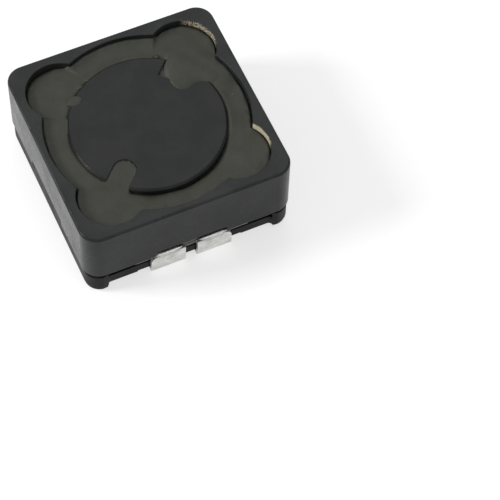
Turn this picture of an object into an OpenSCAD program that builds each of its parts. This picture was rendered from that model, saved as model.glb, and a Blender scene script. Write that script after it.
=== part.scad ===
// Shielded power inductor for surface mounting.
//
// A wound drum core stands inside a square ferrite shield. Resin holds the drum
// in the shield's opening, and both are glued to a moulded base. Two formed metal
// terminals lie in pockets under the base. Their tabs turn up at the ends, where
// the two ends of the winding are soldered to them.
//
// Origin: centre of the solder plane, with Z up. The terminals face -Y and +Y.

/* [Shield core] */
// Side of the square shield, over its outer faces
shield_w = 12.5; // [12.3:0.1:14]
// Height of the shield, from its lower rim to its top face
shield_h = 3.8; // [3.7:0.1:6]
// Radius of the shield's upright corners
shield_corner_r = 1.05; // [0.5:0.05:1.4]
// Thinnest wall, in the middle of each side
shield_wall = 0.4; // [0.35:0.05:0.6]
// Wall beside the round pockets in the opening's corners
lobe_wall = 0.58; // [0.5:0.02:0.7]
// Radius of those corner pockets
lobe_r = 1.92; // [1.8:0.02:2.1]
// Bevel along the shield's top edges
shield_bevel = 0.1; // [0.04:0.01:0.18]
// Width of the notch in the lower rim of each side
rim_notch_w = 4.3; // [3.6:0.1:4.8]
// Height of the notch in the lower rim
rim_notch_h = 0.38; // [0.32:0.01:0.6]

/* [Drum core] */
// Height of the drum core over both flanges
drum_h = 3.55; // [3.3:0.05:3.6]
// Radius of both flanges
flange_r = 4.5; // [4.3:0.05:4.6]
// Thickness of the upper flange
upper_flange_t = 0.95; // [0.8:0.05:1]
// Thickness of the lower flange
lower_flange_t = 0.8; // [0.6:0.05:0.85]
// Radius of the post that carries the winding
post_r = 2.2; // [1.9:0.05:2.25]
// Width of the two notches in each flange
flange_notch_w = 1.35; // [1:0.05:1.6]
// Depth of those notches, from the flange's rim
flange_notch_d = 1.8; // [1.4:0.05:1.95]
// Bevel on the flange rims
flange_bevel = 0.12; // [0.05:0.01:0.2]

/* [Winding] */
// Diameter of the enamelled wire
wire_d = 0.42; // [0.36:0.01:0.43]
// Turns side by side in one layer
turns = 4; // [2:1:4]
// Layers of turns, one over the other
layers = 4; // [2:1:4]
// Radius of the bends in the wire's two ends, at their centre line
lead_bend_r = 0.36; // [0.3:0.02:0.38]
// Length of each wire end that runs on past its terminal's tabs
lead_end = 1.1; // [0.6:0.1:1.3]

/* [Base] */
// Setback of the base's sides from the shield's faces
base_inset = 0.1; // [0.08:0.01:0.16]
// Radius of the base's corners
base_corner_r = 0.9; // [0.6:0.05:1]
// Width of the corner lugs, seen from the terminal sides
lug_w = 1.15; // [1.05:0.05:1.2]
// Slant of the lugs' inner ends, along the terminal sides
lug_slant = 0.3; // [0.2:0.05:0.4]
// Setback of the terminal sides between the lugs
side_recess = 0.28; // [0.26:0.01:0.34]
// Radius where a lug meets the recessed side
lug_fillet_r = 0.2; // [0.1:0.02:0.22]
// Height of the corner pads above the circuit board
standoff = 0.2; // [0.18:0.01:0.3]
// Height of the corner pads over the sunken band
pad_h = 0.18; // [0.15:0.01:0.2]
// Ledge around the corner pads
pad_ledge = 0.05; // [0.03:0.01:0.12]
// Width of the sunken band between the corner pads
band_w = 5.2; // [4.9:0.1:5.6]
// Thickness of the base under the wire channels
floor_t = 0.55; // [0.45:0.01:0.6]
// Height of the base's body over the channel floor
body_h = 0.54; // [0.5:0.01:0.7]
// Width of the wire channel along each terminal side
channel_w = 1.15; // [1.1:0.05:1.25]
// Play between a base tongue and the rim notch that it enters
tongue_play = 0.08; // [0.05:0.01:0.12]
// Thickness of the base tongues
tongue_t = 0.55; // [0.4:0.05:0.7]

/* [Terminals] */
// Thickness of the terminal sheet
sheet_t = 0.2; // [0.15:0.01:0.22]
// Width of a terminal's plate
plate_w = 5.96; // [5.8:0.02:6.1]
// Distance from the part's middle to a plate's inner edge
plate_inner_y = 1.82; // [1.6:0.02:2.1]
// Chamfer on the plate's inner corners
plate_chamfer = 0.52; // [0.3:0.02:0.7]
// Play between a plate and the sides of its pocket
pocket_play = 0.18; // [0.1:0.01:0.22]
// Width over a terminal's two tabs
tabs_w = 4.88; // [4.6:0.02:4.9]
// Width of the slot between the two tabs
slot_w = 0.72; // [0.5:0.02:0.9]
// Depth of that slot, from the tabs' outer faces
slot_d = 2.5; // [2.4:0.05:2.7]
// Width of the slit between a tab and the ear beside it
slit_w = 0.12; // [0.08:0.01:0.16]
// Distance from the tabs' outer faces to the ears' tips
ear_inset = 0.92; // [0.8:0.02:1.1]
// Radius inside the bends of the sheet
bend_r = 0.15; // [0.1:0.01:0.2]
// Angle of the step from the plate down to the solder faces
step_angle = 16; // [15:1:30]
// Distance from the slot's end to the step
step_start = 0.45; // [0.35:0.05:0.6]
// Setback of the tabs' outer faces from the shield's faces
tab_inset = 0.1; // [0.08:0.01:0.12]
// Height of the tabs' upright legs above the circuit board
leg_h = 1.5; // [1.45:0.01:1.6]
// Radius of the legs' outer free corners
leg_corner_r = 0.45; // [0.3:0.05:0.6]
// Width of the sheared stub on the plate's inner edge
stub_w = 1.2; // [0.8:0.05:1.6]
// Width of the nicks beside that stub
nick_w = 0.16; // [0.1:0.02:0.24]
// Depth of those nicks
nick_d = 0.08; // [0.05:0.01:0.12]

/* [Resin, glue and solder] */
// Glue line between the base and the two cores
bond_t = 0.33; // [0.28:0.01:0.4]
// Setback of that glue from the base's sides
bond_inset = 0.35; // [0.2:0.05:0.5]
// Depth of the resin's surface below the drum's top
fill_drop = 0.3; // [0.1:0.05:0.5]
// Play around the resin, where it has drawn back from the cores
fill_play = 0.02; // [0.01:0.01:0.05]
// Thickness of the solder around the wire ends
solder_t = 0.14; // [0.08:0.01:0.18]
// Radius of the glue dabs beside the ears
dab_r = 0.24; // [0.15:0.01:0.26]
// Height of those glue dabs
dab_h = 0.13; // [0.08:0.01:0.15]

/* [Hidden] */

$fn = 64;
cut = 0.5;                                   // how far a cut runs past the face it opens
FRONT = 0;                                   // turn of the pieces on the -Y side
BACK = 180;                                  // turn of the pieces on the +Y side

ferrite = [0.22, 0.22, 0.23];
drum_black = [0.16, 0.17, 0.18];
copper = [0.72, 0.40, 0.20];
moulded_black = [0.12, 0.12, 0.12];
tin = [0.78, 0.78, 0.76];
resin_olive = [0.24, 0.24, 0.20];
glue_amber = [0.62, 0.60, 0.50];

// Heights above the circuit board
pad_z = standoff;
band_z = pad_z + pad_h;                      // sunken band and pocket floors
channel_z = band_z + floor_t;                // floor of the wire channels
body_z = channel_z + body_h;                 // top of the base's body
rim_z = body_z + bond_t;                     // lower rims of the shield and the drum
top_z = rim_z + shield_h;
drum_top_z = rim_z + drum_h;

// Plan sizes
half_w = shield_w / 2;
opening_r = half_w - shield_wall;
lobe_c = half_w - lobe_wall - lobe_r;        // centre of a corner pocket, along X and Y
base_half = half_w - base_inset;
side_y = base_half - side_recess;            // terminal sides of the base, between the lugs
lug_x = base_half - lug_w;
channel_y = side_y - channel_w;
tab_y = half_w - tab_inset;                  // outer faces of the tabs
leg_y = tab_y - sheet_t;                     // inner faces of the upright legs
slot_y = tab_y - slot_d;
pocket_half = plate_w / 2 + pocket_play;
tab_w = (tabs_w - slot_w) / 2;
ear_tip_y = tab_y - ear_inset;
ear_w = (plate_w - tabs_w) / 2 - slit_w;

// Winding window and leads
wire_r = wire_d / 2;
turn_bedding = 0.98;                         // turns bed into each other a little
pitch = turn_bedding * wire_d;
window_h = drum_h - upper_flange_t - lower_flange_t;
window_mid_z = rim_z + lower_flange_t + window_h / 2;
first_layer_r = post_r + wire_r;
last_layer_r = first_layer_r + (layers - 1) * pitch;
lowest_turn_z = window_mid_z - (turns - 1) / 2 * pitch;
lead_y = leg_y - wire_r;                     // wire ends lie against the upright legs
lead_z = leg_h - wire_r;                     // and level with their free ends
lead_x = last_layer_r - wire_r / 2;          // where a wire end leaves the turns, heading outwards
lead_start_y = wire_d;
lead_top_z = lowest_turn_z + wire_r / 2;
lead_drop_y = lead_y - 2 * lead_bend_r;

// Copies at the four corners of a rectangle
module at_corners(x, y) {
    for (sx = [-1, 1], sy = [-1, 1]) translate([sx * x, sy * y]) children();
}

// A square with round corners, centred
module round_square(side, r) {
    square([side, side - 2 * r], center = true);
    square([side - 2 * r, side], center = true);
    at_corners(side / 2 - r, side / 2 - r) circle(r = r);
}

// Upright square block with round corners and a bevel around its top face
module bevelled_block(side, r, h, bevel) {
    for (turn = [0, 90])
        rotate(turn) translate([0, side / 2 - r, 0]) rotate([90, 0, 0])
            linear_extrude(side - 2 * r)
                polygon([[-side / 2, 0], [side / 2, 0], [side / 2, h - bevel],
                         [side / 2 - bevel, h], [bevel - side / 2, h], [-side / 2, h - bevel]]);
    at_corners(side / 2 - r, side / 2 - r) {
        cylinder(r = r, h = h - bevel);
        translate([0, 0, h - bevel]) cylinder(r1 = r, r2 = r - bevel, h = bevel);
    }
}

// The shield's opening, wider by grow: a large circle with a round pocket in each corner
module opening_outline(grow = 0) {
    circle(r = opening_r + grow, $fn = 128);
    at_corners(lobe_c, lobe_c) circle(r = lobe_r + grow);
}

// The flange's two open notches, wider by grow
module flange_notches(grow = 0) {
    notch_end = flange_r - flange_notch_d + flange_notch_w / 2;
    for (turn = [45, 225]) rotate(turn) {
        translate([notch_end, 0]) circle(d = flange_notch_w + 2 * grow);
        translate([notch_end, -flange_notch_w / 2 - grow])
            square([flange_r, flange_notch_w + 2 * grow]);
    }
}

// Square ferrite ring with a bevelled top, a lobed opening and four rim notches
module shield_core() {
    color(ferrite) difference() {
        translate([0, 0, rim_z]) bevelled_block(shield_w, shield_corner_r, shield_h, shield_bevel);
        translate([0, 0, rim_z - cut]) linear_extrude(shield_h + 2 * cut) opening_outline();
        for (turn = [0, 90])
            rotate(turn) translate([-rim_notch_w / 2, -shield_w, rim_z - cut])
                cube([rim_notch_w, 2 * shield_w, rim_notch_h + cut]);
    }
}

// One flange, bevelled at both edges of its rim
module flange(t) {
    rotate_extrude($fn = 128)
        polygon([[0, 0], [flange_r - flange_bevel, 0], [flange_r, flange_bevel],
                 [flange_r, t - flange_bevel], [flange_r - flange_bevel, t], [0, t]]);
}

// Spool of dark ferrite: two notched flanges on a round post
module drum_core() {
    color(drum_black) difference() {
        union() {
            translate([0, 0, rim_z]) flange(lower_flange_t);
            translate([0, 0, drum_top_z - upper_flange_t]) flange(upper_flange_t);
            translate([0, 0, rim_z]) cylinder(r = post_r, h = drum_h);
        }
        translate([0, 0, rim_z - cut]) linear_extrude(drum_h + 2 * cut) flange_notches();
    }
}

// Section of the wound turns: a grid of round wires with the gaps between them closed
module turns_section() {
    for (layer = [0 : layers - 1], turn = [0 : turns - 1])
        if (layer == 0 || layer == layers - 1 || turn == 0 || turn == turns - 1)
            translate([first_layer_r + layer * pitch, lowest_turn_z + turn * pitch])
                circle(r = wire_r, $fn = 16);
    translate([first_layer_r, lowest_turn_z]) square([(layers - 1) * pitch, (turns - 1) * pitch]);
}

// Quarter bend in the wire, in the XY plane, from the X axis to the Y axis
module wire_elbow() {
    rotate_extrude(angle = 90) translate([lead_bend_r, 0]) circle(r = wire_r, $fn = 16);
}

// Straight run of wire along X
module wire_run(length) {
    rotate([0, 90, 0]) cylinder(r = wire_r, h = length, $fn = 16);
}

// One end of the winding: off the outer layer over the lower flange, down inside the
// shield, out under its rim and along the inner faces of the terminal's legs
module wire_end() {
    translate([-lead_x, -lead_start_y, lead_top_z]) rotate(-90)
        wire_run(lead_drop_y - lead_bend_r - lead_start_y);
    translate([-lead_x, lead_bend_r - lead_drop_y, lead_top_z - lead_bend_r])
        rotate([0, -90, 0]) rotate(-90) mirror([0, 1, 0]) rotate(-90) wire_elbow();
    translate([-lead_x, -lead_drop_y, lead_z + lead_bend_r])
        cylinder(r = wire_r, h = lead_top_z - lead_z - 2 * lead_bend_r, $fn = 16);
    translate([-lead_x, -lead_drop_y - lead_bend_r, lead_z + lead_bend_r])
        rotate([90, 0, 90]) rotate(-90) wire_elbow();
    translate([lead_bend_r - lead_x, lead_bend_r - lead_y, lead_z]) rotate(180) wire_elbow();
    translate([lead_bend_r - lead_x, -lead_y, lead_z])
        wire_run(lead_x - lead_bend_r + tabs_w / 2 + lead_end);
}

// One piece of enamelled copper wire: the turns on the post and both ends
module winding() {
    color(copper) {
        rotate_extrude() turns_section();
        for (turn = [FRONT, BACK]) rotate(turn) wire_end();
    }
}

// Outline of the base: a lug at each corner, with the terminal sides set back between them
module base_outline(inset = 0) {
    difference() {
        round_square(2 * (base_half - inset), base_corner_r - inset);
        for (turn = [FRONT, BACK]) rotate(turn) side_cut(inset);
    }
}

// What the terminal side loses between two lugs, with a round corner at each lug
module side_cut(inset) {
    r = lug_fillet_r + inset;
    reach = lug_x + inset;
    polygon([[-reach, -side_y + inset - r], [-reach - lug_slant, -base_half + inset],
             [-reach - lug_slant, -base_half - cut], [reach + lug_slant, -base_half - cut],
             [reach + lug_slant, -base_half + inset], [reach, -side_y + inset - r]]);
    translate([-reach + r, -base_half - cut]) square([2 * (reach - r), base_half + cut - side_y + inset]);
    for (side = [-1, 1]) translate([side * (reach - r), -side_y + inset - r]) circle(r = r);
}

// Moulded base: body, wire channels, tongues, corner pads and terminal pockets
module base() {
    color(moulded_black) {
        difference() {
            translate([0, 0, band_z]) linear_extrude(body_z - band_z) base_outline();
            for (turn = [FRONT, BACK]) rotate(turn)
                translate([-lug_x, -base_half - cut, channel_z])
                    cube([2 * lug_x, base_half + cut - channel_y, body_h + cut]);
        }
        translate([0, 0, pad_z]) linear_extrude(pad_h) difference() {
            base_outline(pad_ledge);
            square([2 * base_half, band_w], center = true);
            square([2 * pocket_half, 2 * base_half], center = true);
        }
        for (turn = [90, 270]) rotate(turn) tongue();
    }
}

// Tongue on a side without a terminal, standing in the shield's rim notch
module tongue() {
    width = rim_notch_w - 2 * tongue_play;
    translate([-width / 2, -base_half, channel_z])
        cube([width, tongue_t, rim_z - channel_z + rim_notch_h - tongue_play]);
}

// Flat outline of a terminal's plate on the -Y side, with its two ears
module plate_outline() {
    half = plate_w / 2;
    difference() {
        union() {
            polygon([[-half + plate_chamfer, -plate_inner_y], [half - plate_chamfer, -plate_inner_y],
                     [half, -plate_inner_y - plate_chamfer], [half, -slot_y - step_start],
                     [-half, -slot_y - step_start], [-half, -plate_inner_y - plate_chamfer]]);
            for (side = [-1, 1]) ear_outline(side);
        }
        translate([-slot_w / 2, -tab_y]) square([slot_w, slot_d]);
        for (side = [-1, 1])
            translate([side * stub_w / 2 - nick_w / 2, -plate_inner_y - nick_d]) square([nick_w, cut]);
    }
}

// Ear beside the tabs, with a round tip
module ear_outline(side) {
    centre_x = side * (plate_w - ear_w) / 2;
    translate([centre_x, -ear_tip_y + ear_w / 2]) circle(d = ear_w, $fn = 32);
    translate([centre_x - ear_w / 2, -ear_tip_y + ear_w / 2])
        square([ear_w, ear_tip_y - slot_y - ear_w / 2]);
}

// Stations [point, heading] along the middle of a bent strip, in its own plane.
// Each step is a straight length and the bend that follows it.
function strip_stations(steps, at = 0, point = [0, 0], heading = 0) =
    let (bend = steps[at][1],
         end = point + steps[at][0] * [cos(heading), sin(heading)],
         centre = end + sign(bend) * bend_mid_r * [-sin(heading), cos(heading)],
         stations = bend == 0 ? [[end, heading]] :
             [for (i = [0 : bend_steps])
                 let (h = heading + bend * i / bend_steps)
                 [centre + sign(bend) * bend_mid_r * [sin(h), -cos(h)], h]])
    concat(at == 0 ? [[point, heading]] : [], stations,
           at == len(steps) - 1 ? [] :
               strip_stations(steps, at + 1, stations[len(stations) - 1][0], heading + bend));

// Outline of a bent strip of sheet
module bent_strip(steps) {
    stations = strip_stations(steps);
    last = len(stations) - 1;
    function beside(station, side) =
        station[0] + side * sheet_t / 2 * [-sin(station[1]), cos(station[1])];
    polygon(concat([for (i = [0 : last]) beside(stations[i], -1)],
                   [for (i = [last : -1 : 0]) beside(stations[i], 1)]));
}

// Side view of a tab: level with the plate, down a step, along the board and up the end
step_drop = band_z - sheet_t;                // from the plate's level to the solder level
bend_mid_r = bend_r + sheet_t / 2;
bend_steps = 6;                              // flats around each bend
step_run = (step_drop - 2 * bend_mid_r * (1 - cos(step_angle))) / sin(step_angle);
step_length = 2 * bend_mid_r * sin(step_angle) + step_run * cos(step_angle);
sole_length = slot_d - step_start - step_length - bend_r - sheet_t;
tab_steps = [[step_start, -step_angle], [step_run, step_angle], [sole_length, 90],
             [leg_h - bend_r - sheet_t, 0]];

// Terminal on the -Y side: plate with ears, and two tabs formed down and up
module terminal() {
    color(tin) {
        translate([0, 0, band_z - sheet_t]) linear_extrude(sheet_t) plate_outline();
        for (side = [0, 1]) mirror([side, 0, 0]) tab();
    }
}

// The tab on the +X side of the slot, with its leg's outer free corner rounded off
module tab() {
    difference() {
        translate([tabs_w / 2, -slot_y, band_z - sheet_t / 2])
            rotate([90, 0, -90]) linear_extrude(tab_w) bent_strip(tab_steps);
        translate([tabs_w / 2 - leg_corner_r, -leg_y + cut, leg_h - leg_corner_r])
            rotate([90, 0, 0]) linear_extrude(sheet_t + 2 * cut) difference() {
                square(leg_corner_r + cut);
                circle(r = leg_corner_r);
            }
    }
}

module terminal_front() { rotate(FRONT) terminal(); }
module terminal_back() { rotate(BACK) terminal(); }

// Solder fillets between the wire end and the inner faces of the two legs, clear of
// the floor of the base's wire channel
module solder() {
    color(tin) difference() {
        for (side = [0, 1]) mirror([side, 0, 0])
            translate([slot_w / 2, -lead_y, lead_z])
                rotate([0, 90, 0]) cylinder(r = wire_r + solder_t, h = tab_w - leg_corner_r, $fn = 32);
        translate([-tabs_w, -lead_y, lead_z]) rotate([0, 90, 0])
            cylinder(r = wire_r, h = 2 * tabs_w, $fn = 32);
        translate([-tabs_w, -lead_y - tab_y, lead_z - leg_h])
            cube([2 * tabs_w, tab_y - wire_r, 2 * leg_h]);
        translate([-tabs_w, -lead_y, lead_z - leg_h]) cube([2 * tabs_w, tab_y, 2 * leg_h]);
        translate([-tabs_w, -side_y, band_z]) cube([2 * tabs_w, channel_w, floor_t]);
    }
}

module solder_front() { rotate(FRONT) solder(); }
module solder_back() { rotate(BACK) solder(); }

// Bed of black glue between the base's body and the two cores
module core_bond() {
    half = base_half - bond_inset;
    color(moulded_black) translate([0, 0, body_z]) difference() {
        union() {
            translate([-half, -channel_y + bond_inset, 0])
                cube([2 * half, 2 * (channel_y - bond_inset), bond_t]);
            for (side = [-1, 1])
                translate([side * (half + lug_x + bond_inset) / 2 - (half - lug_x - bond_inset) / 2, -half, 0])
                    cube([half - lug_x - bond_inset, 2 * half, bond_t]);
        }
        for (turn = [90, 270]) rotate(turn)
            translate([-rim_notch_w / 2, -base_half, -cut])
                cube([rim_notch_w, tongue_t + tongue_play, bond_t + 2 * cut]);
    }
}

// Resin around the drum's upper flange, in the shield's opening and the flange notches
module fill_resin() {
    color(resin_olive)
        translate([0, 0, drum_top_z - upper_flange_t]) linear_extrude(upper_flange_t - fill_drop)
            difference() {
                opening_outline(-fill_play);
                difference() {
                    circle(r = flange_r + fill_play, $fn = 128);
                    flange_notches(-fill_play);
                }
            }
}

// Small domes of set glue between the ears' tips and the base's edge
module terminal_glue() {
    dome_r = (dab_r * dab_r + dab_h * dab_h) / (2 * dab_h);
    color(glue_amber)
        for (side = [-1, 1], turn = [FRONT, BACK]) rotate(turn)
            translate([side * (plate_w - ear_w) / 2, -ear_tip_y - dab_r, band_z]) intersection() {
                translate([0, 0, dome_r - dab_h]) sphere(r = dome_r, $fn = 24);
                translate([-cut, -cut, -cut]) cube([2 * cut, 2 * cut, cut]);
            }
}

shield_core();
drum_core();
winding();
base();
terminal_front();
terminal_back();
solder_front();
solder_back();
core_bond();
fill_resin();
terminal_glue();
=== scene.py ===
# %% [markdown]
# # A shielded power inductor, step by step
#
# The part is a low square block, 12.5 mm a side, that is soldered flat to a circuit board. A spool of
# dark ferrite stands in the lobed opening of a square ferrite shield, set in resin. Under both lies a
# moulded base with two forked terminals of tinned sheet.
#
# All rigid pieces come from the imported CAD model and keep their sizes. This lesson gives them soft
# edges, chips and finishes, and pours the resin, which has no exact shape of its own.

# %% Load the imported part
import math
import random

import bmesh
import bpy
from mathutils import Matrix, Vector, noise


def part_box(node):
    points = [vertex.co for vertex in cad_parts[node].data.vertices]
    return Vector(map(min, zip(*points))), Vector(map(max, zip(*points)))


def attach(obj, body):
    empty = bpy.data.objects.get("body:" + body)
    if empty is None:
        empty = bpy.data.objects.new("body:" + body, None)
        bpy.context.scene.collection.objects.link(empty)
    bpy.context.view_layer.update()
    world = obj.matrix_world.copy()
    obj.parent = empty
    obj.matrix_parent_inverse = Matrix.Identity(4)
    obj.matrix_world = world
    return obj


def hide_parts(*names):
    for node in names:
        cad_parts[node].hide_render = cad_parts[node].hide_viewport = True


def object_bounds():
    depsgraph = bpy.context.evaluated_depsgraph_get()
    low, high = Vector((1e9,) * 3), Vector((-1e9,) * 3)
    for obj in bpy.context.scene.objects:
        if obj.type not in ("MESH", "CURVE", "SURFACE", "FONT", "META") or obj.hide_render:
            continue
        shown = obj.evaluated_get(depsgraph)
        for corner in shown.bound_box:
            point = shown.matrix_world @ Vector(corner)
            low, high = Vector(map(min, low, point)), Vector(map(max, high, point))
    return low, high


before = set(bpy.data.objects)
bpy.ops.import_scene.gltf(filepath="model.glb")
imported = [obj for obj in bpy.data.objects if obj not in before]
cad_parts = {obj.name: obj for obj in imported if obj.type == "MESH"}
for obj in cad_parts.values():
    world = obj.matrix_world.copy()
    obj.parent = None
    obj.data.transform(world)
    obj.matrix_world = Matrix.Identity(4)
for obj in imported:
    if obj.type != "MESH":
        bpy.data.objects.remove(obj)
cad_low, cad_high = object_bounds()
MM = 0.001
print("CAD box in mm:", [round(v / MM, 3) for v in cad_high - cad_low])

# %% [markdown]
# ## Camera
#
# A small part is looked at from some distance with a long lens, so that its sides stay almost
# parallel. The camera looks down at a steep angle, past the part, which places it at the upper left
# of the picture. Turning the camera keeps the lens shift at zero, so other views stay centred.

# %% Place the camera
VIEW_AZIMUTH = math.radians(-21.31)
VIEW_ELEVATION = math.radians(56.38)
VIEW_ROLL = math.radians(2.23)
VIEW_DISTANCE = 127.76 * MM
VIEW_LENS = 162.06            # focal length, in millimetres
AIM_OFFSET = Vector((2.76, -7.92, -1.0)) * MM


def direction(azimuth, elevation):
    """Unit vector from the part towards something at this azimuth and elevation, in radians."""
    level = math.cos(elevation)
    return Vector((math.sin(azimuth) * level, -math.cos(azimuth) * level, math.sin(elevation)))


middle = (cad_low + cad_high) / 2
camera_data = bpy.data.cameras.new("view")
camera_data.lens = VIEW_LENS
camera_data.clip_start = 1 * MM
camera_data.clip_end = 10
camera = bpy.data.objects.new("view", camera_data)
bpy.context.scene.collection.objects.link(camera)
stand = middle + direction(VIEW_AZIMUTH, VIEW_ELEVATION) * VIEW_DISTANCE
turn = (middle + AIM_OFFSET - stand).to_track_quat("-Z", "Y").to_matrix().to_4x4()
camera.matrix_world = Matrix.Translation(stand) @ turn @ Matrix.Rotation(VIEW_ROLL, 4, "Z")
bpy.context.scene.camera = camera
print("camera at", [round(v / MM, 1) for v in stand], "mm")

# %% [markdown]
# ## Lamps
#
# Three soft lamps stand around the part. The one on the left models the form: it draws the bright
# line on the drum's left rim and throws the short shadows on the right. The other two only lighten
# the front and the back edges. Each is set by the brightness it would give a white floor, which is
# easier to choose than watts.

# %% Lamps
def lamp(name, azimuth, elevation, distance, size, brightness):
    """Square lamp aimed at the part. A white floor under it gets this brightness from it alone."""
    data = bpy.data.lights.new(name, "AREA")
    data.size = size
    towards = direction(math.radians(azimuth), math.radians(elevation))
    data.energy = brightness * math.pi ** 2 * distance ** 2 / towards.z
    obj = bpy.data.objects.new(name, data)
    obj.location = middle + towards * distance
    obj.rotation_euler = (-towards).to_track_quat("-Z", "Y").to_euler()
    bpy.context.scene.collection.objects.link(obj)


lamp("key_left", -108, 34, 0.30, 0.09, 0.42)
lamp("fill_front", 20, 50, 0.30, 0.18, 0.10)
lamp("top_back", 160, 62, 0.30, 0.16, 0.12)

# %% [markdown]
# ## Shader maths in Python
#
# A shader is a tree of nodes, and long sums of Math nodes are hard to read. A small class wraps a
# socket, so that a sum can be written as a Python expression, which adds its nodes by itself. One
# method, add, makes every other node.

# %% Sockets in expressions
class Link:
    """A socket of a node tree that can stand in a Python expression."""

    def __init__(self, tree, socket=None):
        self.tree = tree
        self.socket = socket

    def add(self, kind, settings=None, sockets=None, output=0):
        """Add a node. Its settings are set first, then its sockets get values or links. The result
        is one of its outputs, or nothing for a node that ends the tree."""
        node = self.tree.nodes.new(kind)
        for name, value in (settings or {}).items():
            setattr(node, name, value)
        for name, value in (sockets or {}).items():
            if isinstance(value, Link):
                self.tree.links.new(value.socket, node.inputs[name])
            else:
                node.inputs[name].default_value = value
        return None if output is None else Link(self.tree, node.outputs[output])

    def other(self, output):
        """Another output of this link's node."""
        return Link(self.tree, self.socket.node.outputs[output])

    def math(self, operation, *values):
        """A Math node on the given values."""
        return self.add("ShaderNodeMath", {"operation": operation}, dict(enumerate(values)))

    def __add__(self, other):
        return self.math("ADD", self, other)

    __radd__ = __add__

    def __sub__(self, other):
        return self.math("SUBTRACT", self, other)

    def __rsub__(self, other):
        return self.math("SUBTRACT", other, self)

    def __mul__(self, other):
        return self.math("MULTIPLY", self, other)

    __rmul__ = __mul__

    def step(self, low, high):
        """0 below low and 1 above high, with a smooth change between. It falls if low is the larger."""
        settings = {"interpolation_type": "SMOOTHSTEP"}
        return self.add("ShaderNodeMapRange", settings, {0: self, 1: low, 2: high, 3: 0.0, 4: 1.0})

    def blend(self, first, second):
        """Colour that goes from first to second while this value goes from 0 to 1."""
        return self.add("ShaderNodeMix", {"data_type": "RGBA"}, {0: self, 6: first, 7: second}, 2)

    def noise(self, per_mm, detail=3.0, roughness=0.55):
        """Noise on this place, with about per_mm waves in a millimetre."""
        return self.add("ShaderNodeTexNoise", {}, {
            "Vector": self, "Scale": per_mm, "Detail": detail, "Roughness": roughness})

    def join(self, socket):
        """Feed another node's input socket."""
        self.tree.links.new(self.socket, socket)


print("operators: +, - and *")

# %% [markdown]
# ## Sky and floor
#
# The part lies on a plain pale sheet. Sheet and sky are white to the camera and to reflections, and
# much dimmer as lamps: a Light Path node tells which kind of ray asks. The sheet still darkens where
# the part shades it, because a part of its shown colour is an ordinary matt surface.

# %% Sky and floor
FLOOR_SIDE = 3.0
SKY_SHOWN = 0.85
SKY_LIGHT = 0.35
SHEET_GLOW = 0.62


def seen_as(tree, shown, lit):
    """Mix of two shaders: shown to the camera and to reflections, lit to everything else."""
    camera_ray = Link(tree).add("ShaderNodeLightPath", output="Is Camera Ray")
    straight = camera_ray.math("MAXIMUM", camera_ray, camera_ray.other("Is Glossy Ray"))
    factor = camera_ray.math("MAXIMUM", straight, camera_ray.other("Is Transmission Ray"))
    return camera_ray.add("ShaderNodeMixShader", {}, {0: factor, 1: lit, 2: shown})


world = bpy.data.worlds.new("pale_room")
bpy.context.scene.world = world
world.use_nodes = True
sky = world.node_tree
sky.nodes.clear()
pale = Link(sky).add("ShaderNodeBackground", {}, {"Color": (1, 1, 1, 1), "Strength": SKY_SHOWN})
dim = Link(sky).add("ShaderNodeBackground", {}, {"Color": (1, 1, 1, 1), "Strength": SKY_LIGHT})
Link(sky).add("ShaderNodeOutputWorld", {}, {"Surface": seen_as(sky, pale, dim)}, None)

shape = bmesh.new()
bmesh.ops.create_grid(shape, x_segments=1, y_segments=1, size=FLOOR_SIDE / 2)
floor_mesh = bpy.data.meshes.new("floor")
shape.to_mesh(floor_mesh)
shape.free()
floor = bpy.data.objects.new("floor", floor_mesh)
bpy.context.scene.collection.objects.link(floor)
paper = bpy.data.materials.new("pale_sheet")
paper.use_nodes = True
sheet = paper.node_tree
sheet.nodes.clear()
matt = Link(sheet).add("ShaderNodeBsdfDiffuse", {}, {"Color": (0.9, 0.9, 0.9, 1)})
shaded = Link(sheet).add("ShaderNodeBsdfDiffuse", {}, {"Color": (0.5, 0.5, 0.5, 1)})
glow = Link(sheet).add("ShaderNodeEmission", {}, {"Strength": SHEET_GLOW})
shown = Link(sheet).add("ShaderNodeAddShader", {}, {0: shaded, 1: glow})
Link(sheet).add("ShaderNodeOutputMaterial", {}, {"Surface": seen_as(sheet, shown, matt)}, None)
floor_mesh.materials.append(paper)
bpy.context.scene.view_settings.view_transform = "Standard"
print("floor of", FLOOR_SIDE, "m under a sky of", SKY_LIGHT)

# %% [markdown]
# ## Finishes
#
# Every finish is a small set of nodes on one shader. The place of a point, in millimetres, comes from
# Object coordinates, so a pattern keeps its real size and runs on from one face to the next.

# %% Start of every finish
def new_finish(name, constants):
    """A material, its shader with the constants set, and the place of each point in millimetres."""
    material = bpy.data.materials.new(name)
    material.use_nodes = True
    tree = material.node_tree
    shader = tree.nodes["Principled BSDF"]
    for socket, value in constants.items():
        shader.inputs[socket].default_value = value
    metres = Link(tree).add("ShaderNodeTexCoord", output=3)
    place = metres.add("ShaderNodeVectorMath", {"operation": "SCALE"}, {0: metres, "Scale": 1 / MM})
    return material, shader, place


def relief(height, depth, shader):
    """Let a height from 0 to 1 shape the surface, depth millimetres deep."""
    bump = height.add("ShaderNodeBump", {}, {"Height": height, "Distance": depth * MM})
    bump.join(shader.inputs["Normal"])


def axis_of(place, axis):
    """One coordinate of a place: 0, 1 or 2."""
    return place.add("ShaderNodeSeparateXYZ", {}, {0: place}, axis)


def grains(place, per_mm, radius):
    """Small round specks, one in some of the cells of a random grid: 1 on a speck and 0 beside it."""
    sockets = {"Vector": place, "Scale": per_mm}
    near = place.add("ShaderNodeTexVoronoi", {}, sockets)
    chosen = axis_of(place.add("ShaderNodeTexVoronoi", {}, sockets, 1), 0).step(0.55, 0.6)
    return near.step(radius * per_mm, radius * per_mm * 0.6) * chosen


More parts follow.
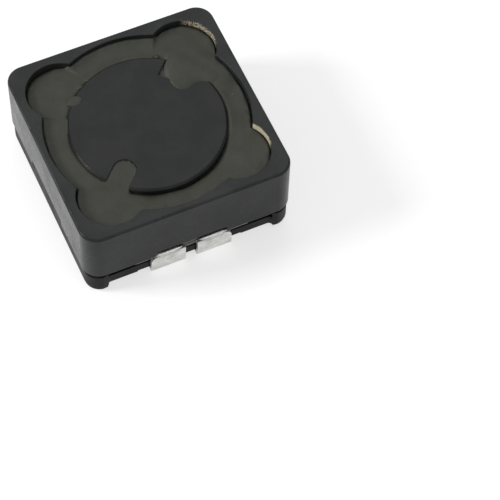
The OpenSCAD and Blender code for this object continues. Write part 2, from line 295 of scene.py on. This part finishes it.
DUST = (0.30, 0.29, 0.24, 1)
print("dust colour:", DUST[:3])

# %% [markdown]
# ## Ferrite
#
# Ferrite is a sintered ceramic: dark grey, dry to the touch and faintly grained, with a sheen only at
# a flat angle. Specks of pale dust from grinding stay in its pores. One recipe serves the shield
# and the spool, with a darker colour for the spool. The walls of the opening's two right pockets
# also carry a thin tan film of resin, which dried in specks. It is laid only on the part of those
# walls that faces the key lamp, and its light tan stands in for that lamp's glint there: part real
# film, part painted highlight.

# %% Ferrite finish
LOBE_C = 3.75                 # centres of the opening's round pockets, along X and Y
LOBE_R = 1.92                 # their radius
ROUND_R = 5.85                # radius of the opening's large circle
# heading, from each pocket's centre, of the wall part that faces the key lamp: the film and its painted
# highlight lie there, between the two heights below
FILM_AND_HIGHLIGHT_HEADING = math.radians(28)
FILM_AND_HIGHLIGHT_LOW = 5.16               # height at which the film starts
FILM_AND_HIGHLIGHT_HIGH = 5.66              # and at which it ends, all in millimetres above the board
# light tan of the film, light enough to stand in for the key lamp's glint on it: painted highlight
TAN_FILM_AND_HIGHLIGHT = (0.60, 0.54, 0.38, 1)


def ferrite(name, dark, light, with_film_and_highlight=False):
    """Grained ferrite, between a dark and a light grey."""
    material, shader, place = new_finish(name, {"Specular IOR Level": 0.11})
    cloud = place.noise(0.55, 4).step(0.35, 0.68)
    grain = place.noise(26, 4, 0.7)
    body = (cloud * 0.6 + grain * 0.5).blend(dark, light)
    specks = grains(place, 0.8, 0.03)
    colour = specks.blend(body, DUST)
    rough = 0.17 + 0.10 * cloud + 0.08 * grain
    height = grain * 0.7 + place.noise(7, 3) * 0.6 + specks * 0.8
    if with_film_and_highlight:
        # painted highlight: the light tan film, laid only where the key lamp strikes the walls
        film_and_highlight = wall_film_and_highlight(place)
        colour = film_and_highlight.blend(colour, TAN_FILM_AND_HIGHLIGHT)
        rough = rough - 0.12 * film_and_highlight
        height = height + film_and_highlight * 1.5
    colour.join(shader.inputs["Base Color"])
    rough.join(shader.inputs["Roughness"])
    relief(height, 0.006, shader)
    return material


def wall_film_and_highlight(place):
    """1 where a thin speckled film of resin is left on the pocket walls on the right, only where they
    face the key lamp: part real film, part painted highlight.
    """
    along = axis_of(place, 0) - LOBE_C
    across_all = axis_of(place, 1)
    across = across_all - LOBE_C * across_all.math("SIGN", across_all)
    reach = (along * along + across * across).math("SQRT", along * along + across * across)
    on_wall = reach.step(LOBE_R - 0.06, LOBE_R - 0.03) * reach.step(LOBE_R + 0.08, LOBE_R + 0.04)
    bearing = along * math.cos(FILM_AND_HIGHLIGHT_HEADING) + across * math.sin(FILM_AND_HIGHLIGHT_HEADING)
    height = axis_of(place, 2) + 0.10 * place.noise(3.0)
    # keeps only the wall part that faces the key lamp, which places the painted highlight
    facing = bearing.step(0.70 * LOBE_R, 0.86 * LOBE_R)
    spread = facing * height.step(FILM_AND_HIGHLIGHT_LOW, FILM_AND_HIGHLIGHT_LOW + 0.14) * height.step(FILM_AND_HIGHLIGHT_HIGH, FILM_AND_HIGHLIGHT_HIGH - 0.06)
    speckle = place.noise(11, 3, 0.7) + 0.25 * (0 - across_all).step(-1.0, 1.0)
    return on_wall * spread * speckle.step(0.42, 0.56)


shield_finish = ferrite("shield_ferrite", (0.016, 0.017, 0.017, 1), (0.034, 0.035, 0.035, 1), with_film_and_highlight=True)
drum_finish = ferrite("drum_ferrite", (0.012, 0.013, 0.013, 1), (0.026, 0.027, 0.026, 1))
print("ferrites:", shield_finish.name, drum_finish.name)

# %% [markdown]
# ## Moulded base
#
# The base is a black glass-filled moulding. Its skin is satin and a little cloudy, where the filling
# comes near the surface, and fine flow lines run away from the gate.

# %% Moulding finish
def moulding():
    """Black glass-filled moulding."""
    material, shader, place = new_finish("black_moulding", {"Specular IOR Level": 0.12})
    cloud = place.noise(0.9, 4).step(0.3, 0.7)
    fibre = place.noise(18, 3, 0.6)
    body = (cloud * 0.5 + fibre * 0.5).blend((0.006, 0.006, 0.006, 1), (0.018, 0.018, 0.017, 1))
    body.join(shader.inputs["Base Color"])
    (0.38 + 0.14 * cloud + 0.12 * fibre).join(shader.inputs["Roughness"])
    relief(fibre, 0.005, shader)
    return material


base_finish = moulding()
print("moulding:", base_finish.name)

# %% [markdown]
# ## Tinned sheet
#
# The terminals are stamped from bronze sheet and plated with matt tin. Tin is light grey and
# mottled: its crystals scatter light unevenly, in patches of some tenths of a millimetre. Solder is
# the same metal, smoother, so both come from one recipe.

# %% Tin finish
def tin(name, dark, light, smooth, depth):
    """Mottled tin. smooth is its least roughness, depth that of its relief in millimetres."""
    material, shader, place = new_finish(name, {"Metallic": 1.0})
    patches = place.noise(1.6, 5, 0.65).step(0.32, 0.70)
    crystals = place.add("ShaderNodeTexVoronoi", {}, {"Vector": place, "Scale": 5.0}, 1)
    tone = axis_of(crystals, 0) * 0.25 + patches * 0.75
    tone.blend(dark, light).join(shader.inputs["Base Color"])
    (smooth + 0.18 * patches + 0.06 * axis_of(crystals, 1)).join(shader.inputs["Roughness"])
    relief(place.noise(9, 4, 0.6) + axis_of(crystals, 2) * 0.2, depth, shader)
    return material


terminal_finish = tin("matt_tin", (0.52, 0.53, 0.51, 1), (0.80, 0.80, 0.77, 1), 0.36, 0.010)
solder_finish = tin("solder", (0.40, 0.40, 0.39, 1), (0.55, 0.55, 0.54, 1), 0.26, 0.006)
print("metals:", terminal_finish.name, solder_finish.name)

# %% [markdown]
# ## Winding wire
#
# The wire is copper under a dark, glossy enamel. Only its two ends show, beside the terminals, and
# dip solder has left a few grey patches on them.

# %% Wire finish
def wire():
    """Dark enamel with grey patches of solder."""
    material, shader, place = new_finish("wire", {"Coat Weight": 0.6, "Coat Roughness": 0.15})
    patches = place.noise(2.5, 3).step(0.60, 0.70)
    patches.blend((0.030, 0.020, 0.015, 1), (0.12, 0.12, 0.12, 1)).join(shader.inputs["Base Color"])
    (0.36 + 0.16 * place.noise(6)).join(shader.inputs["Roughness"])
    relief(place.noise(8), 0.008, shader)
    return material


wire_finish = wire()
print("enamel:", wire_finish.name)

# %% [markdown]
# ## Glues and resin
#
# Three things are poured or dabbed on. Black epoxy beds the cores on the base, a clear yellowish
# glue holds the ears of the terminals, and dark olive resin fills the opening around the spool.
# Along the wall the resin has drawn in a little, which leaves an uneven crease; its colour is darkened
# there to near black as painted shade.

# %% Glue and resin finishes
def glue(name, dark, light, roughness, constants):
    """A cloudy glue, with constants for what else its shader needs."""
    material, shader, place = new_finish(name, constants)
    cloud = place.noise(3.0, 4)
    cloud.blend(dark, light).join(shader.inputs["Base Color"])
    (roughness + 0.15 * cloud).join(shader.inputs["Roughness"])
    relief(cloud, 0.01, shader)
    return material


bond_finish = glue("black_glue", (0.008, 0.008, 0.008, 1), (0.022, 0.022, 0.021, 1), 0.35, {})
clear_finish = glue("clear_glue", (0.36, 0.34, 0.26, 1), (0.56, 0.53, 0.42, 1), 0.16,
                    {"Transmission Weight": 0.35, "IOR": 1.5})


def resin():
    """Dark olive resin, with painted shade in an uneven near-black band along the opening's wall."""
    material, shader, place = new_finish("fill_resin", {"Specular IOR Level": 0.30})
    cloud = place.noise(0.8, 4).step(0.3, 0.72)
    fine = place.noise(9, 4, 0.6)
    body = (cloud * 0.7 + fine * 0.3).blend((0.024, 0.025, 0.017, 1), (0.042, 0.043, 0.034, 1))
    x, y = axis_of(place, 0), axis_of(place, 1)
    lobe_x, lobe_y = x.math("ABSOLUTE", x) - LOBE_C, y.math("ABSOLUTE", y) - LOBE_C
    in_lobe = LOBE_R - x.math("SQRT", lobe_x * lobe_x + lobe_y * lobe_y)
    in_round = ROUND_R - x.math("SQRT", x * x + y * y)
    to_wall = x.math("MAXIMUM", in_lobe, in_round) + 0.16 * place.noise(2.6, 4) - 0.08
    # painted shade: near black in an uneven band along the wall, where the crease lies in shade
    painted_wall_shade = to_wall.step(0.11, 0.03)
    with_wall_shade = painted_wall_shade.blend(body, (0.006, 0.006, 0.005, 1))
    grains(place, 0.9, 0.03).blend(with_wall_shade, DUST).join(shader.inputs["Base Color"])
    (0.40 + 0.14 * fine + 0.1 * cloud).join(shader.inputs["Roughness"])
    relief(fine + place.noise(2.2, 3) * 1.5, 0.012, shader)
    return material


resin_finish = resin()
print("finishes:", len(bpy.data.materials))

# %% [markdown]
# ## Soft edges
#
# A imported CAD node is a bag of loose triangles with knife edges. A copy is merged, its flat faces are
# dissolved into whole ones, and a Bevel modifier rounds what is still sharp. Hardened normals keep the
# flat faces flat. The copy then stands for its node.

# %% Copies with soft edges
SEAM = 0.0005 * MM            # points nearer than this are one
FLAT = math.radians(0.3)      # faces that turn less than this are one
SHARP = math.radians(30)      # edges that turn more than this are rounded


def piece_from(shape, name, finish):
    """Make an object of a finished bmesh, in the row's frame, and let it ride on the part."""
    mesh = bpy.data.meshes.new(name)
    shape.to_mesh(mesh)
    shape.free()
    mesh.materials.append(finish)
    mesh.polygons.foreach_set("use_smooth", [True] * len(mesh.polygons))
    mesh.set_sharp_from_angle(angle=SHARP)
    obj = bpy.data.objects.new(name, mesh)
    bpy.context.scene.collection.objects.link(obj)
    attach(obj, "root")
    return obj


def whole_faces(node):
    """A CAD node's mesh, merged and with each flat face in one piece."""
    shape = bmesh.new()
    shape.from_mesh(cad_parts[node].data)
    bmesh.ops.remove_doubles(shape, verts=shape.verts, dist=SEAM)
    bmesh.ops.dissolve_limit(shape, angle_limit=FLAT, verts=shape.verts, edges=shape.edges)
    return shape


def settled(obj):
    """The mesh of an object after its modifiers, as new data."""
    bpy.context.view_layer.update()
    evaluated = obj.evaluated_get(bpy.context.evaluated_depsgraph_get())
    return bpy.data.meshes.new_from_object(evaluated)


def combine(obj, tool_shape, operation):
    """Take a bmesh out of an object's mesh, or add it, for good. Both are enlarged to millimetres
    for it, because the solver is blind to steps as small as this part's in metres."""
    bmesh.ops.triangulate(tool_shape, faces=tool_shape.faces)
    tool_mesh = bpy.data.meshes.new("tool")
    tool_shape.to_mesh(tool_mesh)
    tool_shape.free()
    body, tool = (bpy.data.objects.new("working", mesh) for mesh in (settled(obj), tool_mesh))
    for working in (body, tool):
        working.data.transform(Matrix.Scale(1 / MM, 4))
        bpy.context.scene.collection.objects.link(working)
    change = body.modifiers.new("change", "BOOLEAN")
    change.object = tool
    change.operation = operation
    change.solver = "MANIFOLD"
    made = settled(body)
    made.transform(Matrix.Scale(MM, 4))
    obj.modifiers.clear()
    obj.data = made
    for working in (body, tool):
        bpy.data.objects.remove(working)


def softened(node, name, finish, width, segments=3):
    """A copy of a CAD node with its sharp edges rounded by width millimetres, in its place."""
    obj = piece_from(whole_faces(node), name, finish)
    if width:
        bevel = obj.modifiers.new("soft edges", "BEVEL")
        bevel.width = width * MM
        bevel.segments = segments
        bevel.limit_method = "ANGLE"
        bevel.angle_limit = SHARP
        bevel.harden_normals = True
    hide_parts(node)
    print(name, "from", node, len(obj.data.polygons), "faces")
    return obj


shield = softened("shield_core", "shield", shield_finish, 0.05)
drum = softened("drum_core", "drum", drum_finish, 0.03)
softened("base", "moulded_base", base_finish, 0.045)
for end in ("front", "back"):
    softened(f"terminal_{end}", f"forked_terminal_{end}", terminal_finish, 0.05)
softened("winding", "wound_wire", wire_finish, 0)
softened("core_bond", "glue_bed", bond_finish, 0.04)
softened("terminal_glue", "glue_dabs", clear_finish, 0)

# %% [markdown]
# ## Solder beads
#
# Where a wire end lies against a terminal's legs, solder has wetted both and set as a smooth bead
# over the top of the leg. Each bead is lofted along the leg: its rings shrink to nothing at both
# ends and follow the leg's rounded corner down.

# %% Solder beads
TABS_HALF = 2.44              # half the width over a terminal's two tabs
SLOT_HALF = 0.36              # half the slot between them
LEG_CORNER_R = 0.45           # rounding of a leg's outer free corner
BEAD_STATIONS = 28
BEAD_SIDES = 20
BEAD_DEPTH = 0.235            # half the bead's size across the leg
BEAD_HEIGHT = 0.21            # and upright
BEAD_BACK = 0.21              # from the leg's outer face in to the bead's middle
BEAD_SINK = 0.12              # from the leg's free end down to it
SLOT_GAP = 0.03               # between the slot and the bead's inner end
EDGE_GAP = 0.06               # between its outer end and the leg's outer edge


def leg_top(x):
    """Height of a leg's free end at a distance x from the part's middle."""
    past = max(0.0, x - (TABS_HALF - LEG_CORNER_R))
    return LEG_TOP - LEG_CORNER_R + math.sqrt(max(0.0, LEG_CORNER_R ** 2 - past ** 2))


def bead(shape, side, facing):
    """Loft one bead into the bmesh: side is -1 or 1 for the tab, facing -1 or 1 for the terminal."""
    start, end = SLOT_HALF + SLOT_GAP, TABS_HALF - EDGE_GAP
    rings = []
    for station in range(BEAD_STATIONS + 1):
        share = station / BEAD_STATIONS
        x = start + (end - start) * share
        swell = max(0.02, 1 - abs(2 * share - 1) ** 5) ** 0.5
        ring = []
        for corner in range(BEAD_SIDES):
            around = 2 * math.pi * corner / BEAD_SIDES
            uneven = 1 + 0.10 * noise.noise(Vector((side * x * 2.2, facing * 3 + math.cos(around), 2.0)))
            y = LEG_FACE - BEAD_BACK + BEAD_DEPTH * swell * uneven * math.cos(around)
            z = leg_top(x) - BEAD_SINK + BEAD_HEIGHT * swell * uneven * math.sin(around)
            ring.append(shape.verts.new(Vector((side * x, facing * y, z)) * MM))
        rings.append(ring)
    for first, second in zip(rings, rings[1:]):
        for corner in range(BEAD_SIDES):
            after = (corner + 1) % BEAD_SIDES
            shape.faces.new((first[corner], first[after], second[after], second[corner]))
    shape.faces.new(rings[0])
    shape.faces.new(rings[-1])


terminal_low, terminal_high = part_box("terminal_back")
LEG_TOP = terminal_high.z / MM
LEG_FACE = terminal_high.y / MM
for end, facing in (("front", -1), ("back", 1)):
    shape = bmesh.new()
    for side in (-1, 1):
        bead(shape, side, facing)
    bmesh.ops.recalc_face_normals(shape, faces=shape.faces)
    beads = piece_from(shape, f"solder_joint_{end}", solder_finish)
    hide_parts(f"solder_{end}")
    print(beads.name, len(beads.data.polygons), "faces")

# %% [markdown]
# ## Chips
#
# Ferrite is brittle. Handling breaks tiny flakes off its edges, and larger nicks off the lower rim.
# Each chip is a jagged lump that a Boolean takes out of the shield, because a chip is a missing
# piece and its edges should be sharp.

# %% Chips along the shield's edges
shield_low, shield_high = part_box("shield_core")
SIDE = shield_high.x / MM
RIM_Z = shield_low.z / MM
WALL_TOP = shield_high.z / MM
NOTCH_HALF = 2.4              # half the length of the notch in each side's lower rim
NOTCH_RISE = 0.38             # how far it lifts the rim
# nicks in the lower rim of the left side: place along Y, size
NICKS = ((2.29, 0.13), (-0.07, 0.07), (-0.68, 0.06), (-2.01, 0.08), (-2.35, 0.07),
         (-3.15, 0.11), (-3.56, 0.07))
dice = random.Random(7)


def chip(shape, place, size):
    """Add a jagged lump of about this size at a place, both in millimetres."""
    matrix = Matrix.Translation(Vector(place) * MM)
    lump = bmesh.ops.create_icosphere(shape, subdivisions=1, radius=size * MM, matrix=matrix)["verts"]
    for vert in lump:
        centre = Vector(place) * MM
        vert.co = centre + (vert.co - centre) * dice.uniform(0.55, 1.25)


chips = bmesh.new()
for along, size in NICKS:
    chip(chips, (-SIDE, along, RIM_Z + 0.02), size)
for turn in range(4):
    rotation = Matrix.Rotation(turn * math.pi / 2, 3, "Z")
    for count, height, depth in ((9, WALL_TOP - 0.05, 0.05), (5, RIM_Z, 0.0)):
        for flake in range(count):
            along = dice.uniform(-0.84, 0.84) * SIDE
            spot = rotation @ Vector((SIDE - depth, along, height))
            if height == RIM_Z and abs(along) < NOTCH_HALF:
                spot.z += NOTCH_RISE
            chip(chips, spot, dice.uniform(0.025, 0.06))
combine(shield, chips, "DIFFERENCE")
print("shield with chips:", len(shield.data.polygons), "faces")

# %% [markdown]
# ## Poured resin
#
# The resin is a plate with a soft upper face. It starts as a flat grid, which is bent into a ring
# that reaches from inside the spool's flange to the lobed wall. Each point then takes its height: sunk
# a little below the flange, dipping where the resin shrank from a wall, climbing the back wall, and
# heaped over the flange at one notch, where it was poured. A Boolean takes the spool out of it.

# %% Height of the resin
drum_low, drum_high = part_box("drum_core")
resin_low, resin_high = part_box("fill_resin")
DISC_R = (drum_high.x - drum_low.x) / 2 / MM
DISC_TOP = drum_high.z / MM
LEVEL = resin_high.z / MM
FLOOR_OF_RESIN = resin_low.z / MM
RESIN_PLAY = 0.02             # a hair between the resin and the wall
LIFT = 0.12                   # how far the resin stands above the plate in CAD
WALL_REACH = 0.35             # how far from the wall it climbs
DISC_REACH = 0.40             # how far from the flange it sinks or climbs
WALL_SEAM = 0.08              # half the width of the crease along the wall
DISC_SEAM = 0.10              # and along the flange
SMOOTHNESS = 8                # of the outline around a group of patches: higher is tighter
NOTCH_LOW = 0.06              # how far the filled front-left notch stays below the flange's face
FOOT = DISC_TOP - 0.02        # height at which resin on top of the flange starts
# Round patches of resin on top of the flange: x, y, radius
HEAP = ((3.30, 2.78, 0.95), (2.95, 1.95, 0.72), (3.90, 2.12, 0.68), (4.50, 1.75, 0.62))
SMEARS = ((-3.02, 2.95, 0.27), (-3.35, 2.95, 0.30), (-2.52, 3.72, 0.16), (2.20, 3.95, 0.15))


def wall_at(angle):
    """Distance from the middle to the lobed wall in this direction."""
    off = (angle + math.pi / 4) % (math.pi / 2) - math.pi / 4
    off = abs(abs(off) - math.pi / 4)
    centre = LOBE_C * math.sqrt(2)
    inside = LOBE_R ** 2 - (centre * math.sin(off)) ** 2
    if inside <= 0:
        return ROUND_R - RESIN_PLAY
    return max(ROUND_R, centre * math.cos(off) + math.sqrt(inside)) - RESIN_PLAY


def ramp(value, low, high):
    """0 at low and 1 at high, with a smooth change between."""
    share = min(1.0, max(0.0, (value - low) / (high - low)))
    return share * share * (3 - 2 * share)


def outside(x, y, patches):
    """Smoothed distance to the outline of a group of round patches, negative inside."""
    total = sum(math.exp(-SMOOTHNESS * (math.hypot(x - cx, y - cy) - r)) for cx, cy, r in patches)
    return -math.log(total) / SMOOTHNESS


def resin_height(x, y):
    """Height of the resin above the board, in millimetres."""
    radius = math.hypot(x, y)
    angle = math.atan2(y, x)
    to_wall = wall_at(angle) - radius
    to_disc = radius - DISC_R
    rough = noise.noise(Vector((x * 0.9, y * 0.9, 3.0)))
    ragged = noise.noise(Vector((x * 2.4, y * 2.4, 7.0)))
    in_lobe = ramp(wall_at(angle) - ROUND_R, 0.0, 0.4)
    at_back = ramp(math.sin(angle), 0.0, 0.6) * (1 - in_lobe)
    at_front = ramp(math.cos(angle + math.radians(85)), 0.45, 0.95)
    height = LEVEL + LIFT + 0.05 * rough
    # climbing or sunk along the wall and the flange
    height += (0.04 + 0.24 * at_back + 0.08 * ragged) * math.exp(-to_wall / WALL_REACH)
    height += (0.14 - 0.34 * at_front) * math.exp(-max(to_disc, 0.0) / DISC_REACH)
    # narrow creases where it shrank from both
    height -= (0.10 + 0.05 * ragged) * math.exp(-(to_wall / WALL_SEAM) ** 2)
    height -= 0.10 * math.exp(-(max(to_disc, 0.0) / DISC_SEAM) ** 2) * (1 - at_back)
    # the front-left notch, filled almost to the top
    along = -(x + y) / math.sqrt(2)
    aside = (x - y) / math.sqrt(2)
    in_notch = ramp(DISC_R + 0.5 - along, 0.0, 0.9) * ramp(0.9 - abs(aside), 0.0, 0.25) * (along > 0)
    height += (DISC_TOP - NOTCH_LOW + 0.02 * ragged - height) * in_notch
    # the heap at the back-right notch, and a few smears
    far = outside(x, y, HEAP)
    heaped = ramp(-far, -0.16 - 1.0 * ramp(to_disc, 0.0, 0.5), 0.02)
    crown = 0.12 * math.sqrt(max(0.0, min(1.0, -far / 0.4))) * ramp(-to_disc, -0.9, 0.1)
    height += (FOOT - height) * heaped + crown
    smear = outside(x, y, SMEARS)
    if smear < 0:
        height = max(height, FOOT + 0.06 * math.sqrt(min(1.0, -smear / 0.2)))
    if to_disc < 0 and far > 0 and smear > 0:
        height = min(height, DISC_TOP - 0.01)
    return min(height, WALL_TOP - 0.05)


print("resin at the back wall:", round(resin_height(0, ROUND_R - RESIN_PLAY), 2), "mm")

# %% Poured resin
INNER_R = 1.9                 # inner edge of the ring, hidden in the spool
AROUND = 720
ACROSS = 44
CROWDING = 0.7                # below 1, the rings crowd towards the wall

shape = bmesh.new()
bmesh.ops.create_grid(shape, x_segments=AROUND, y_segments=ACROSS, size=0.5)
for vert in shape.verts:
    angle = (vert.co.x + 0.5) * 2 * math.pi
    share = (vert.co.y + 0.5) ** CROWDING
    radius = INNER_R + (wall_at(angle) - INNER_R) * share
    x, y = radius * math.cos(angle), radius * math.sin(angle)
    vert.co = Vector((x, y, resin_height(x, y))) * MM
bmesh.ops.remove_doubles(shape, verts=shape.verts, dist=0.2 * SEAM)
rims = [edge for edge in shape.edges if edge.is_boundary]
skirt = bmesh.ops.extrude_edge_only(shape, edges=rims)["geom"]
for vert in (item for item in skirt if isinstance(item, bmesh.types.BMVert)):
    vert.co.z = FLOOR_OF_RESIN * MM
bmesh.ops.bridge_loops(shape, edges=[edge for edge in shape.edges if edge.is_boundary])
bmesh.ops.recalc_face_normals(shape, faces=shape.faces)
resin_piece = piece_from(shape, "poured_resin", resin_finish)
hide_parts("fill_resin")
combine(resin_piece, whole_faces("drum_core"), "DIFFERENCE")
print("resin:", len(resin_piece.data.polygons), "faces")

# %% [markdown]
# ## End of the notch under the heap
#
# The heap covers all of its notch, which is a little shorter than its twin. A block closes the
# notch's inner end: one Boolean takes the block out of the resin, another joins it to the spool.

# %% End of the notch under the heap
STOP_AT = 2.75                # middle, length, width and height of the block that closes it
STOP_LENGTH = 0.90
STOP_WIDTH = 1.42
STOP_HEIGHT = 0.9
STOP_SINK = 0.004             # keeps its top clear of the flange's face

stop = bmesh.new()
bmesh.ops.create_cube(stop, size=1)
for vert in stop.verts:
    vert.co = Vector((vert.co.x * STOP_LENGTH, vert.co.y * STOP_WIDTH, vert.co.z * STOP_HEIGHT))
    vert.co = Matrix.Rotation(math.pi / 4, 3, "Z") @ (vert.co + Vector((STOP_AT, 0, 0)))
    vert.co.z += DISC_TOP - STOP_SINK - STOP_HEIGHT / 2
    vert.co *= MM
combine(resin_piece, stop.copy(), "DIFFERENCE")
combine(drum, stop, "UNION")
print("drum with its notch closed:", len(drum.data.polygons), "faces")
